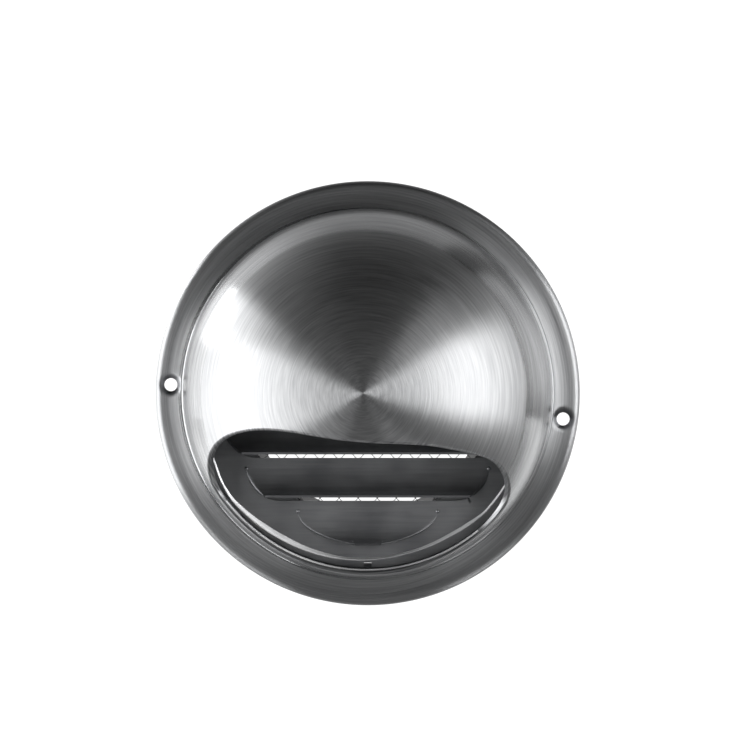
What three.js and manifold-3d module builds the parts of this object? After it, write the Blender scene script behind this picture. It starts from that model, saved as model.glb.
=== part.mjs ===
// Round stainless steel cowl vent for an 80 mm duct: a spun hood with its flange, a pressed louvre plate
// inside it, an insect screen behind the louvres and a short duct spigot, joined by small tack welds.
// Millimetres, +Z up. The wall face is the plane y = 0, the hood stands out of it towards -Y and the
// spigot runs into the wall towards +Y. Profiles are (radius, out), where out is the height above the wall.
import * as THREE from 'three';
import { mergeGeometries, mergeVertices } from 'three/addons/utils/BufferGeometryUtils.js';
import Module from 'manifold-3d';

const wasm = await Module();
wasm.setup();

// Sheet and fits
const sheet = 0.8;             // thickness of every pressed or rolled sheet
const gap = 0.3;               // clearance between pieces that touch or are welded

// Hood and flange
const hoodHeight = 45;         // wall to the crown of the dome
const flangeWidth = 8.8;       // foot of the dome to the outer edge
const flangeTop = 2.2;         // wall to the front of the flat ring
const baseFillet = 1.0;        // bend between dome and flat ring
const rimWidth = 4.3;          // rolled rim, from the groove beside the flat ring to the outer edge
const creaseDepth = 0.25;
const creaseReach = 0.5;       // the groove starts this far inside its deepest line
const rimShoulder = 0.7;       // deepest line of the groove out to the shoulder of the rim
const rimRise = 0.3;           // how far the rolled rim stands above the flat ring
const rimRoll = 1.9;           // radius of the roll at the outer edge
const hemInset = 0.4;          // outer edge in to the flat of the hem
const hemWidth = 1.4;          // flat of the hem that bears on the wall
const hemThick = 0.45;
const hoodTurn = -5;           // degrees, the hood sits turned a little against the louvres

// Mouth of the hood, in the hood's own turned frame
const mouthTop = 14.6;         // axis down to the upper lip at its ends and middle
const lipWave = 1.5;           // the upper lip rises this much between its middle and its ends
const mouthStrip = 1.7;        // the lower edge leaves this much of the dome's radius
const mouthCorner = 12.0;      // radius of the two upper corners
const lipDepth = 1.8;          // the lip is turned in this far, square to the dome
const punchTilt = 50;          // degrees below straight out, the way the mouth is cut

// Screw holes
const holeInset = 0.4;         // hole centres lie this far inside the groove
const holeR = 2.0;
const sinkR = 3.1;             // countersink radius at the front
const holeDrop = 2.5;          // degrees below the hood's horizontal diameter

// Louvre plate
const plateFront = 7.0;        // wall to the front of the plate
const beadHeight = 0.75;       // the plate's edge is raised into a bead
const beadWidth = 1.6;         // run of the bead's inner slope
const beadRoll = 0.45;         // outside radius of the bead's outer side
const collarRoom = 3.8;        // between the duct collar and the inside of the plate's skirt
const weldFlangeFront = 3.2;   // wall to the front of the flange that is tacked to the hood
const weldFlangeWidth = 2.5;
const drainWidth = 2.3;        // drain notch in the rolled edge at the lowest point
const drainDepth = 1.1;

// Louvres
const louvrePitch = 13.0;
const middleCrease = 3.2;      // height of the middle louvre's crease above the axis
const louvreDrop = 8.0;        // crease down to the lip
const slotDrop = 9.8;          // crease down to the lower edge of the window
const louvreOut = 3.6;         // how far the lip stands in front of the plate
const fieldMargin = 6.3;       // edge of the plate to the circle that the louvre ends follow
const fieldDrop = 5.4;         // that circle is met this far below each crease
const fieldSpill = 2.0;        // the creases of the upper louvres pass it by up to this much
const endRun = 10.3;           // how far the rounded ends run in

// Spigot and screen
const spigotR = 39.0;          // outside radius, goes inside an 80 mm duct
const spigotLength = 38;       // wall to the free end
const collarWidth = 9.0;       // collar ring that lies against the back of the plate
const screenThick = 0.6;
const wireWidth = 0.5;
const wirePitch = 4.1;
const screenOverlap = 2.3;     // how far the screen reaches past the bore
const screenBand = 0.8;        // width of the screen's bound edge

// Tack welds
const tackCount = 4;
const rimTackR = 1.0;          // between the plate's weld flange and the hood
const rimTackThick = 1.2;
const collarTackR = 1.5;       // between the collar and the back of the plate
const collarTackInset = 2.0;   // tack centres to the collar's outer edge

// Facets
const segments = 56;           // round the axis
const domeSteps = 9;           // crown to foot

// Follows from the sizes above, from the duct outwards
const collarR = spigotR + collarWidth;
const plateR = collarR + collarRoom + sheet;
const domeR = plateR + weldFlangeWidth + gap + sheet;
const flangeR = domeR + flangeWidth;
const creaseR = flangeR - rimWidth;
const holeCircleR = creaseR - holeInset;
const mouthR = domeR - mouthStrip;
const fieldR = plateR - fieldMargin;
const plateBack = plateFront - sheet;
const domeFoot = flangeTop + baseFillet;
const crownOuter = hoodHeight - domeFoot;
const screenFront = plateBack - gap;
const collarFront = screenFront - screenThick - gap;
const boreR = spigotR - sheet;
const screenR = boreR + screenOverlap;

const steel = { color: 0xb9bbbd, metalness: 1.0, roughness: 0.32 };
const dullSteel = { color: 0xa3a5a7, metalness: 1.0, roughness: 0.45 };

function arc(cx, cy, rx, ry, from, to, steps) {
  const out = [];
  for (let i = 0; i <= steps; i += 1) {
    const a = THREE.MathUtils.degToRad(from + ((to - from) * i) / steps);
    out.push([cx + rx * Math.cos(a), cy + ry * Math.sin(a)]);
  }
  return out;
}

function solid(geometry) {
  const plain = new THREE.BufferGeometry();
  const source = geometry.index ? geometry.toNonIndexed() : geometry;
  plain.setAttribute('position', source.getAttribute('position').clone());
  const merged = mergeVertices(plain, 1e-4);
  const vertProperties = new Float32Array(merged.getAttribute('position').array);
  const index = Array.from(merged.index.array);
  const tris = [];
  for (let i = 0; i < index.length; i += 3) {
    const [a, b, c] = index.slice(i, i + 3);
    if (a !== b && b !== c && c !== a) {
      tris.push(a, b, c);
    }
  }
  let volume = 0;
  const corner = (k) => new THREE.Vector3().fromArray(vertProperties, 3 * k);
  for (let i = 0; i < tris.length; i += 3) {
    volume += corner(tris[i]).dot(corner(tris[i + 1]).cross(corner(tris[i + 2])));
  }
  if (volume < 0) {
    for (let i = 0; i < tris.length; i += 3) {
      [tris[i], tris[i + 1]] = [tris[i + 1], tris[i]];
    }
  }
  return new wasm.Manifold(new wasm.Mesh({ numProp: 3, vertProperties, triVerts: new Uint32Array(tris) }));
}

function revolve(profile, steps = segments) {
  return solid(new THREE.LatheGeometry(profile.map(([r, out]) => new THREE.Vector2(r, -out)), steps));
}

// A flat outline in (x, z), made solid between two heights above the wall
function prism(outline, from, to) {
  const shape = new THREE.Shape(outline.map(([x, z]) => new THREE.Vector2(x, z)));
  const geometry = new THREE.ExtrudeGeometry(shape, { depth: to - from, bevelEnabled: false });
  geometry.translate(0, 0, from);
  geometry.rotateX(Math.PI / 2);
  return geometry;
}

// An outline in (out, z), made solid from -reach to +reach across the vent
function crossPrism(outline, reach) {
  const shape = new THREE.Shape(outline.map(([out, z]) => new THREE.Vector2(out, z)));
  const geometry = new THREE.ExtrudeGeometry(shape, { depth: 2 * reach, bevelEnabled: false });
  geometry.translate(0, 0, -reach);
  const turn = new THREE.Matrix4().makeBasis(
    new THREE.Vector3(0, -1, 0),
    new THREE.Vector3(0, 0, 1),
    new THREE.Vector3(-1, 0, 0),
  );
  return solid(geometry.applyMatrix4(turn));
}

function turned([x, z], degrees) {
  const a = THREE.MathUtils.degToRad(degrees);
  return [x * Math.cos(a) - z * Math.sin(a), x * Math.sin(a) + z * Math.cos(a)];
}

function mesh(name, body, look) {
  const { vertProperties, triVerts } = body.getMesh();
  const geometry = new THREE.BufferGeometry();
  geometry.setAttribute('position', new THREE.BufferAttribute(new Float32Array(vertProperties), 3));
  geometry.setIndex(Array.from(triVerts));
  geometry.computeVertexNormals();
  const made = new THREE.Mesh(geometry, new THREE.MeshStandardMaterial(look));
  made.name = name;
  return made;
}

// Outer dome surface as a profile from the crown down to the foot, moved inwards by depth
function domeLine(depth) {
  return arc(0, domeFoot, domeR - depth, crownOuter - depth, 90, 0, domeSteps);
}

function hoodProfile() {
  const rimTop = flangeTop + rimRise;
  const shoulder = flangeTop + rimRise * 0.6;
  const rollX = flangeR - rimRoll;
  const innerRoll = rimRoll - sheet;
  const hemR = flangeR - hemInset;
  const innerFillet = baseFillet + sheet;
  return [
    ...domeLine(0),
    ...arc(domeR + baseFillet, domeFoot, baseFillet, baseFillet, 180, 270, 2).slice(1),
    [creaseR - creaseReach, flangeTop],
    [creaseR, flangeTop - creaseDepth],
    [creaseR + rimShoulder, shoulder],
    ...arc(rollX, rimTop - rimRoll, rimRoll, rimRoll, 90, 0, 3),
    [hemR, 0],
    [hemR - hemWidth, 0],
    [hemR - hemWidth, hemThick],
    [flangeR - sheet, hemThick],
    ...arc(rollX, rimTop - rimRoll, innerRoll, innerRoll, 0, 90, 2),
    [creaseR + rimShoulder, shoulder - sheet],
    [creaseR, flangeTop - creaseDepth - sheet],
    [creaseR - creaseReach, flangeTop - sheet],
    ...arc(domeR + baseFillet, domeFoot, innerFillet, innerFillet, 270, 180, 2).slice(0, -1),
    ...domeLine(sheet).reverse(),
  ];
}

// The mouth's edge as (x, z) points: waved top, two rounded corners, round bottom
function mouthOutline() {
  const centreZ = -mouthTop - mouthCorner;
  const centreX = Math.sqrt((mouthR - mouthCorner) ** 2 - centreZ ** 2);
  const leave = THREE.MathUtils.radToDeg(Math.atan2(centreZ, centreX));
  const top = [];
  for (let i = 1; i < 12; i += 1) {
    const along = i / 6 - 1;
    top.push([along * centreX, lipWave * Math.sin(Math.PI * along) ** 2 - mouthTop]);
  }
  const right = arc(centreX, centreZ, mouthCorner, mouthCorner, 90, leave, 6);
  const bottom = arc(0, 0, mouthR, mouthR, leave, -180 - leave, 24).slice(1, -1);
  const left = arc(-centreX, centreZ, mouthCorner, mouthCorner, -180 - leave, -270, 6);
  return [...top, ...right, ...bottom, ...left].map((p) => turned(p, hoodTurn));
}

// The mouth's edge on the dome: each point with its outward normal and the way off the opening
function mouthEdge() {
  const spots = mouthOutline().map(([x, z]) => {
    const out = crownOuter * Math.sqrt(1 - (x * x + z * z) / domeR ** 2);
    const normal = new THREE.Vector3(x / domeR ** 2, -out / crownOuter ** 2, z / domeR ** 2).normalize();
    return { at: new THREE.Vector3(x, -domeFoot - out, z), normal };
  });
  return spots.map((spot, i) => {
    const next = spots[(i + 1) % spots.length].at;
    const last = spots[(i + spots.length - 1) % spots.length].at;
    const along = next.clone().sub(last).normalize();
    return { ...spot, off: along.clone().cross(spot.normal).normalize() };
  });
}

// Rows of points joined into one closed skin: capped at both ends, or the last row joined to the first
function skin(rows, capped) {
  const count = rows[0].length;
  const points = rows.flat();
  const index = [];
  const last = capped ? rows.length - 1 : rows.length;
  for (let r = 0; r < last; r += 1) {
    const here = r * count;
    const there = ((r + 1) % rows.length) * count;
    for (let i = 0; i < count; i += 1) {
      const j = (i + 1) % count;
      index.push(here + i, here + j, there + j, here + i, there + j, there + i);
    }
  }
  if (capped) {
    for (const [start, flip] of [[0, true], [(rows.length - 1) * count, false]]) {
      const middle = new THREE.Vector3();
      points.slice(start, start + count).forEach((p) => middle.addScaledVector(p, 1 / count));
      points.push(middle);
      for (let i = 0; i < count; i += 1) {
        const j = (i + 1) % count;
        const [a, b] = flip ? [start + j, start + i] : [start + i, start + j];
        index.push(a, b, points.length - 1);
      }
    }
  }
  const geometry = new THREE.BufferGeometry().setFromPoints(points);
  geometry.setIndex(index);
  return solid(geometry);
}

function makeHood() {
  const edge = mouthEdge();
  const row = (normalBy, offBy) => edge.map((e) => e.at.clone()
    .addScaledVector(e.normal, normalBy).addScaledVector(e.off, offBy));
  const tilt = THREE.MathUtils.degToRad(punchTilt);
  const away = new THREE.Vector3(0, -Math.cos(tilt), -Math.sin(tilt)).multiplyScalar(hoodHeight);
  const above = row(sheet, 0);
  const opening = skin([row(-lipDepth - 1, 0), above, above.map((p) => p.clone().add(away))], true);
  const lip = skin([row(-0.1, -0.3), row(-0.1, sheet), row(-lipDepth, sheet), row(-lipDepth, -0.3)], false);
  let hood = revolve(hoodProfile()).add(lip).subtract(opening);
  for (const side of [180 + holeDrop, -holeDrop]) {
    const drill = revolve([[0, -1], [holeR, -1], [holeR, flangeTop - sheet], [sinkR, flangeTop + 0.1],
      [sinkR, flangeTop + 1], [0, flangeTop + 1]], 20);
    const [x, z] = turned([holeCircleR, 0], side + hoodTurn);
    hood = hood.subtract(drill.translate([x, 0, z]));
  }
  return mesh('hood_shell', hood, steel);
}

function louvreWidth(crease, drop) {
  const full = Math.sqrt(fieldR ** 2 - (crease - fieldDrop) ** 2);
  const run = full < 2.5 * endRun ? full : endRun;
  const rounded = full - run * (1 - Math.sqrt(Math.max(1 - (drop / slotDrop) ** 2, 0)));
  const chord = Math.sqrt(Math.max((fieldR + fieldSpill) ** 2 - (crease - drop) ** 2, 0));
  return Math.min(rounded, chord);
}

// Heights of the creases: every row that fits in the louvre field
function louvreCreases() {
  const heights = [];
  const rows = Math.ceil(fieldR / louvrePitch) + 1;
  for (let row = -rows; row <= rows; row += 1) {
    const crease = middleCrease + louvrePitch * row;
    if (crease < fieldR - fieldSpill && crease - slotDrop > -fieldR) {
      heights.push(crease);
    }
  }
  return heights;
}

// Outline of one louvre between two drops below its crease, grown sideways by extra
function louvreOutline(crease, from, to, extra) {
  const steps = 7;
  const right = [];
  for (let i = 0; i <= steps; i += 1) {
    const drop = from + (to - from) * Math.sin((i / steps) * (Math.PI / 2));
    right.push([Math.max(louvreWidth(crease, Math.max(drop, 0)) + extra, 0.4), crease - drop]);
  }
  return [...right, ...right.map(([x, z]) => [-x, z]).reverse()];
}

// Side section of one louvre: it leaves the plate smoothly at the crease and is steepest at the lip
function louvreSide(crease, depth) {
  const bulge = [];
  for (let i = 0; i <= 5; i += 1) {
    const way = i / 5;
    const rise = louvreOut * (1 - Math.cos((Math.PI / 2) * way));
    bulge.push([plateFront - depth + rise, crease - louvreDrop * way]);
  }
  return [[plateBack - 1, crease], ...bulge, [plateFront + louvreOut - depth, crease - slotDrop - 1],
    [plateBack - 1, crease - slotDrop - 1]];
}

function makePlate() {
  const flangeEdge = domeR - sheet - gap;
  const crestR = plateR - beadRoll;
  const disc = revolve([
    [0, plateFront],
    [crestR - beadWidth, plateFront],
    ...arc(crestR, plateFront + beadHeight - beadRoll, beadRoll, beadRoll, 90, 0, 3),
    [plateR, weldFlangeFront],
    [flangeEdge, weldFlangeFront],
    [flangeEdge, weldFlangeFront - sheet],
    [plateR - sheet, weldFlangeFront - sheet],
    [plateR - sheet, plateBack],
    [0, plateBack],
  ]);
  let plate = disc;
  for (const crease of louvreCreases()) {
    const over = plateFront + louvreOut + 1;
    const cover = solid(prism(louvreOutline(crease, 0, louvreDrop, 0), plateBack, over));
    const blank = cover.intersect(crossPrism(louvreSide(crease, 0), fieldR + 5));
    const room = solid(prism(louvreOutline(crease, sheet, slotDrop, -sheet), plateBack - 1, over));
    const hollow = room.intersect(crossPrism(louvreSide(crease, sheet), fieldR + 5));
    plate = plate.add(blank).subtract(hollow);
  }
  const low = -plateR - 1;
  const high = drainDepth - plateR;
  const side = drainWidth / 2;
  const notch = solid(prism([[-side, low], [side, low], [side, high], [-side, high]],
    weldFlangeFront, plateFront + 1));
  return mesh('louvre_plate', plate.subtract(notch), dullSteel);
}

// Square mesh laid at 45 degrees, its edge bound in a flat band
function makeScreen() {
  const cell = (wirePitch - wireWidth) / Math.SQRT2;
  const step = wirePitch / Math.SQRT2;
  const holes = [];
  const rows = Math.ceil(screenR / step);
  for (let row = -rows; row <= rows; row += 1) {
    for (let col = -rows; col <= rows; col += 1) {
      const [x, z] = [col * step, row * step];
      if ((row + col) % 2 === 0 && Math.hypot(x, z) < screenR) {
        holes.push(prism([[x + cell, z], [x, z + cell], [x - cell, z], [x, z - cell]], 0, screenFront + 1));
      }
    }
  }
  const disc = (r, from, to) => revolve([[0, from], [r, from], [r, to], [0, to]], 48);
  const open = solid(mergeGeometries(holes)).intersect(disc(screenR - screenBand, -1, screenFront + 2));
  const blank = disc(screenR, screenFront - screenThick, screenFront);
  return mesh('insect_screen', blank.subtract(open), dullSteel);
}

function ring(name, innerR, outerR, from, to) {
  const body = revolve([[innerR, from], [outerR, from], [outerR, to], [innerR, to], [innerR, from]]);
  return mesh(name, body, dullSteel);
}

// One row of tack welds round the axis, each a small flat lens lying in the space it fills
function makeTacks(name, lensR, thick, circleR, middle) {
  const made = [];
  const lens = revolve([
    [0, middle + thick / 2],
    [lensR * 0.7, middle + thick * 0.35],
    [lensR, middle],
    [lensR * 0.7, middle - thick * 0.35],
    [0, middle - thick / 2],
  ], 12);
  for (let i = 0; i < tackCount; i += 1) {
    const angle = ((i + 0.5) / tackCount) * 2 * Math.PI;
    const [x, z] = [circleR * Math.cos(angle), circleR * Math.sin(angle)];
    made.push(mesh(name + '_' + (i + 1), lens.translate([x, 0, z]), dullSteel));
  }
  return made;
}

const vent = new THREE.Group();
vent.name = 'cowl_vent';
vent.add(makeHood(), makePlate(), makeScreen());
vent.add(ring('spigot_tube', boreR, spigotR, -spigotLength, collarFront));
vent.add(ring('spigot_collar', spigotR + gap, collarR, collarFront - sheet, collarFront));
const rimTackCircle = (plateR + domeR - sheet) / 2;
const rimTackMiddle = weldFlangeFront + gap + rimTackThick / 2;
vent.add(...makeTacks('plate_tack', rimTackR, rimTackThick, rimTackCircle, rimTackMiddle));
const collarTackThick = plateBack - collarFront - 2 * gap;
const collarTackMiddle = (plateBack + collarFront) / 2;
const collarTackCircle = collarR - collarTackInset;
vent.add(...makeTacks('collar_tack', collarTackR, collarTackThick, collarTackCircle, collarTackMiddle));

export default vent;
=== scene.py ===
"""Round stainless cowl vent: spun and brushed hood with flange, pressed louvre plate, woven
insect screen and welded duct spigot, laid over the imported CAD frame."""
import math

import bmesh
import bpy
import numpy as np
from mathutils import Matrix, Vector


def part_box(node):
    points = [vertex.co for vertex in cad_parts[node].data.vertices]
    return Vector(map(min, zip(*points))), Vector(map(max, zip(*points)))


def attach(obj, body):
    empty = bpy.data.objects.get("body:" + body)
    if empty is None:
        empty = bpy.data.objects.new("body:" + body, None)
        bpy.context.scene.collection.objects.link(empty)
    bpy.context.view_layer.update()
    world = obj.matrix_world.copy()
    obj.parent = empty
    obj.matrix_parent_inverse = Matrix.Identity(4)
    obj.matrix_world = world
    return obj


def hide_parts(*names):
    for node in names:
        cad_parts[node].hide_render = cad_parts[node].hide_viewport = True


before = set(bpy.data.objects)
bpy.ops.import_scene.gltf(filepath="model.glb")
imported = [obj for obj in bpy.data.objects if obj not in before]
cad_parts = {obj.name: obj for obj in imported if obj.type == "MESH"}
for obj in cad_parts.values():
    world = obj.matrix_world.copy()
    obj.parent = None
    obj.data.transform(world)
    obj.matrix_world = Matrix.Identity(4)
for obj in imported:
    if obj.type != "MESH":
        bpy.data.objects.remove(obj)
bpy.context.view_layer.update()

# ---------------------------------------------------------------------------------------------
# Studio: a pale floor, six soft boxes and a surround, with the vent seen square on. The surround is
# bright behind the vent and at its flanks and dim in front and above, so the steel shows a dark top
# with one bright flank each side.


def linear(hex_colour):
    """An sRGB hex colour as linear RGBA."""
    parts = [int(hex_colour[i : i + 2], 16) / 255 for i in (0, 2, 4)]
    return [c / 12.92 if c <= 0.04045 else ((c + 0.055) / 1.055) ** 2.4 for c in parts] + [1.0]


def add(tree, kind, settings=None, **inputs):
    """Adds a shader or geometry node: settings are its properties, inputs its values or links."""
    made = tree.nodes.new(kind)
    for key, value in (settings or {}).items():
        setattr(made, key, value)
    for key, value in inputs.items():
        name = key.replace("_", " ")
        socket = made.inputs[int(key[1:])] if key[0] == "i" and key[1:].isdigit() else made.inputs[name]
        if isinstance(value, bpy.types.NodeSocket):
            tree.links.new(value, socket)
        else:
            socket.default_value = value
    return made


def soft_box(name, place, across, along, power):
    """A lamp facing the vent, so wide round the vent's axis and so long along it."""
    lamp = bpy.data.lights.new(name, "AREA")
    lamp.shape = "RECTANGLE"
    lamp.size, lamp.size_y = across, along
    lamp.energy = power
    ob = bpy.data.objects.new(name, lamp)
    bpy.context.scene.collection.objects.link(ob)
    ob.location = place
    back = Vector(place).normalized()
    axis = (Vector((0, 1, 0)) - back * back.y).normalized()
    ob.rotation_euler = Matrix((axis.cross(back), axis, back)).transposed().to_euler()
    ob.visible_camera = False


scene = bpy.context.scene
scene.view_settings.view_transform = "Standard"

camera = bpy.data.objects.new("camera", bpy.data.cameras.new("camera"))
scene.collection.objects.link(camera)
scene.camera = camera
camera.location = (0, -0.6, 0)
camera.rotation_euler = (math.pi / 2, 0, 0)
camera.data.lens = 93.9
camera.data.shift_x = 0.0097
camera.data.shift_y = 0.0243

BASE_LIGHT = 0.008
WALL_SIDE = ("Y", 0.06, 0.26, 0.0, 1.0)
NOT_BELOW = ("Z", 0.1, -0.2, 1.0, 0.1)
LESS_ABOVE = ("Z", 0.2, 0.5, 1.0, 0.65)
# Each zone is a product of smooth steps: axis, from, to, the light at the one and at the other.
SURROUND = [
    [WALL_SIDE, ("X", 0.42, 0.48, 0.36, 0.12)],
    [WALL_SIDE, NOT_BELOW, LESS_ABOVE, ("X", 0.63, 0.69, 0.0, 0.85)],
    [WALL_SIDE, NOT_BELOW, LESS_ABOVE, ("X", 0.82, 0.95, 0.0, -0.3)],
    [WALL_SIDE, ("X", -0.35, -0.70, 0.0, 0.35)],
    [WALL_SIDE, ("X", -0.72, -0.77, 0.0, 0.75)],
    [("X", -0.12, -0.62, 0.0, 0.17), ("Z", 0.15, 0.5, 0.0, 1.0), ("Y", -0.1, 0.35, 0.6, 2.1)],
    [("Y", 0.72, 0.88, 0.0, 0.78)],
    [("Y", -0.72, -1.0, 0.0, 0.09)],
    [("Z", 0.0, -0.45, 0.0, 0.18)],
    [("Z", -0.55, -0.85, 0.0, -0.08)],
]

world = bpy.data.worlds.new("surround")
scene.world = world
world.use_nodes = True
tree = world.node_tree
tree.nodes.clear()
facing = add(tree, "ShaderNodeTexCoord").outputs["Generated"]
split = add(tree, "ShaderNodeSeparateXYZ", None, Vector=facing)
strength = BASE_LIGHT
for zone in SURROUND:
    light = 1.0
    for axis, start, stop, before, after in zone:
        step = add(tree, "ShaderNodeMapRange", {"interpolation_type": "SMOOTHSTEP"},
                   Value=split.outputs[axis], From_Min=start, From_Max=stop, To_Min=before,
                   To_Max=after).outputs[0]
        light = add(tree, "ShaderNodeMath", {"operation": "MULTIPLY"}, i0=light, i1=step).outputs[0]
    strength = add(tree, "ShaderNodeMath", {"operation": "ADD"}, i0=strength, i1=light).outputs[0]
lit = add(tree, "ShaderNodeBackground", None, Color=linear("FFFFFF"), Strength=strength)
add(tree, "ShaderNodeOutputWorld", None, Surface=lit.outputs[0])

soft_box("left_box", (-0.95, -0.42, -0.06), 0.9, 1.1, 9.8)
soft_box("upper_left_box", (-0.87, 0.10, 0.46), 0.34, 0.7, 2.5)
soft_box("right_box", (0.86, -0.70, 0.13), 0.75, 0.7, 6.6)
soft_box("upper_right_box", (0.43, -0.78, 0.46), 0.22, 0.5, 0.26)
soft_box("low_left_box", (-0.58, -0.35, -0.74), 0.5, 0.35, 1.1)
soft_box("low_right_box", (0.51, -0.35, -0.79), 0.35, 0.3, 0.66)

FLOOR_NEAR, FLOOR_FAR, FLOOR_SIDE, FLOOR_LEVEL = 0.3, 1.5, 2, -0.3
floor_mesh = bpy.data.meshes.new("floor")
floor_corners = [(-FLOOR_SIDE, FLOOR_NEAR, FLOOR_LEVEL), (FLOOR_SIDE, FLOOR_NEAR, FLOOR_LEVEL),
                 (FLOOR_SIDE, FLOOR_FAR, FLOOR_LEVEL), (-FLOOR_SIDE, FLOOR_FAR, FLOOR_LEVEL)]
floor_mesh.from_pydata(floor_corners, [], [(0, 1, 2, 3)])
floor = bpy.data.objects.new("floor", floor_mesh)
scene.collection.objects.link(floor)
paint = bpy.data.materials.new("pale_floor")
paint.use_nodes = True
tree = paint.node_tree
tree.nodes.clear()
ray = add(tree, "ShaderNodeLightPath")
dull = add(tree, "ShaderNodeBsdfDiffuse", None, Color=linear("E9E9E7"))
white = add(tree, "ShaderNodeEmission", None, Color=linear("FFFFFF"), Strength=0.86)
pale = add(tree, "ShaderNodeAddShader", None, i0=dull.outputs[0], i1=white.outputs[0])
sees = ray.outputs["Is Camera Ray"]
for kind in ("Is Glossy Ray", "Is Transmission Ray"):
    sees = add(tree, "ShaderNodeMath", {"operation": "MAXIMUM"}, i0=sees, i1=ray.outputs[kind]).outputs[0]
shown = add(tree, "ShaderNodeMixShader", None, i0=sees, i1=dull.outputs[0], i2=pale.outputs[0])
add(tree, "ShaderNodeOutputMaterial", None, Surface=shown.outputs[0])
floor_mesh.materials.append(paint)

# ---------------------------------------------------------------------------------------------
# Hood: one disc of 0.8 mm stainless spun to a dome with its flange, the rim hemmed under, the
# mouth punched and its edge folded in. Brushed on the lathe, so fine rings run round the crown.

MM = 0.001
low_corner, high_corner = (np.array(c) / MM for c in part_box("hood_shell"))
SHEET = 0.8
FLANGE_R = high_corner[0]
CROWN = -low_corner[1]
DOME_R = FLANGE_R - 8.8
FLANGE_TOP = 2.2
FOOT_BEND = 1.0
FOOT = FLANGE_TOP + FOOT_BEND
CREASE_R = FLANGE_R - 4.3
RIM_RISE, RIM_ROLL = 0.3, 1.9
HEM_INSET, HEM_WIDTH, HEM_THICK = 0.4, 1.4, 0.45
DOME_RISE = CROWN - FOOT
HOLLOW = [(0, 0.34), (0.12, 0.2), (0.3, 0.08), (0.5, 0), (0.62, 0), (0.72, 0.07), (0.86, 0.24), (1, 0.3)]
MOUTH_TOP_EDGE = [
    (-42.6, -34.5), (-44.5, -30.6), (-45.5, -26.3), (-45.3, -23.0), (-44.0, -20.0), (-41.6, -17.5),
    (-38.2, -15.4), (-32.0, -13.6), (-25.8, -13.1), (-19.6, -13.3), (-13.6, -13.8), (-7.5, -14.2),
    (1.6, -14.3), (10.4, -13.8), (19.0, -13.5), (27.0, -14.3), (32.9, -15.1), (36.6, -15.9),
    (39.6, -17.2), (41.4, -18.8), (43.3, -21.6), (44.5, -24.8), (44.3, -28.6), (42.0, -33.4)]
MOUTH_LOW_R, MOUTH_LOW_X, MOUTH_LOW_Z = 54.5, -0.4, 0.1
MOUTH_CENTRE = np.array([0.0, -0.72])
LIP_DEPTH, LIP_BEND, LIP_ROLL = 1.8, 0.8, 0.12
HOOD_TURN = math.radians(-5)
HOLE_DROP = math.radians(2.5)
HOLE_CIRCLE = CREASE_R - 0.4
HOLE_R = 2.0
HOLE_SIDES = (math.pi + HOLE_DROP, -HOLE_DROP)
DIMPLE_R, DIMPLE_SLOPE, DIMPLE_DEPTH = 3.5, 1.6, 0.75
COLUMNS = 560
EDGE_ROWS, LIP_ROWS, BACK_ROWS = 5, 17, 5
# Angles round the mouth's low edge where the cut-edge strip gets the lighter steel, a painted highlight.
EDGE_HIGHLIGHT_FROM, EDGE_HIGHLIGHT_TO = 217, 309
DRILL_SIDES = 48


def arc(cx, cy, radius, start, stop, steps):
    """Points (x, y) on a circular arc, angles in degrees."""
    angles = np.radians(np.linspace(start, stop, steps + 1))
    return np.stack([cx + radius * np.cos(angles), cy + radius * np.sin(angles)], axis=1)


def mesh_piece(name, points, faces, materials):
    """A piece at the origin from points in millimetres (x, out of the wall, z)."""
    points = np.asarray(points, dtype=float)
    placed = np.stack([points[:, 0], -points[:, 1], points[:, 2]], axis=1) * MM
    mesh = bpy.data.meshes.new(name)
    mesh.from_pydata(placed.tolist(), [], [list(map(int, f)) for f in faces])
    for material in materials:
        mesh.materials.append(material)
    mesh.update()
    ob = bpy.data.objects.new(name, mesh)
    scene.collection.objects.link(ob)
    finish_mesh(ob)
    return ob


def finish_mesh(ob, smooth_angle=40):
    """Smooth shading with sharp edges past an angle, and normals outwards."""
    work = bmesh.new()
    work.from_mesh(ob.data)
    bmesh.ops.recalc_face_normals(work, faces=work.faces)
    work.to_mesh(ob.data)
    work.free()
    ob.data.shade_smooth()
    ob.data.set_sharp_from_angle(angle=math.radians(smooth_angle))


def ring_faces(rows, columns):
    """Quads of a grid whose rows and columns both close on themselves."""
    r = np.arange(rows)[:, None]
    c = np.arange(columns)[None, :]
    here, there = r * columns, ((r + 1) % rows) * columns
    following = (c + 1) % columns
    quads = np.stack([here + c, here + following, there + following, there + c], axis=-1)
    return quads.reshape(-1, 4)


def prism(name, outline, back, front):
    """A cutting tool: an outline (x, z) drawn straight out between two heights above the wall."""
    n = len(outline)
    points = [[x, out, z] for out in (back, front) for x, z in outline]
    faces = [list(range(n)), list(range(2 * n - 1, n - 1, -1))]
    faces += [[i, i + n, (i + 1) % n + n, (i + 1) % n] for i in range(n)]
    return mesh_piece(name, points, faces, [])


def evaluated(ob):
    """Bakes an object's modifiers into a plain mesh."""
    graph = bpy.context.evaluated_depsgraph_get()
    baked = bpy.data.meshes.new_from_object(ob.evaluated_get(graph))
    old = ob.data
    ob.modifiers.clear()
    ob.data = baked
    bpy.data.meshes.remove(old)


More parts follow.
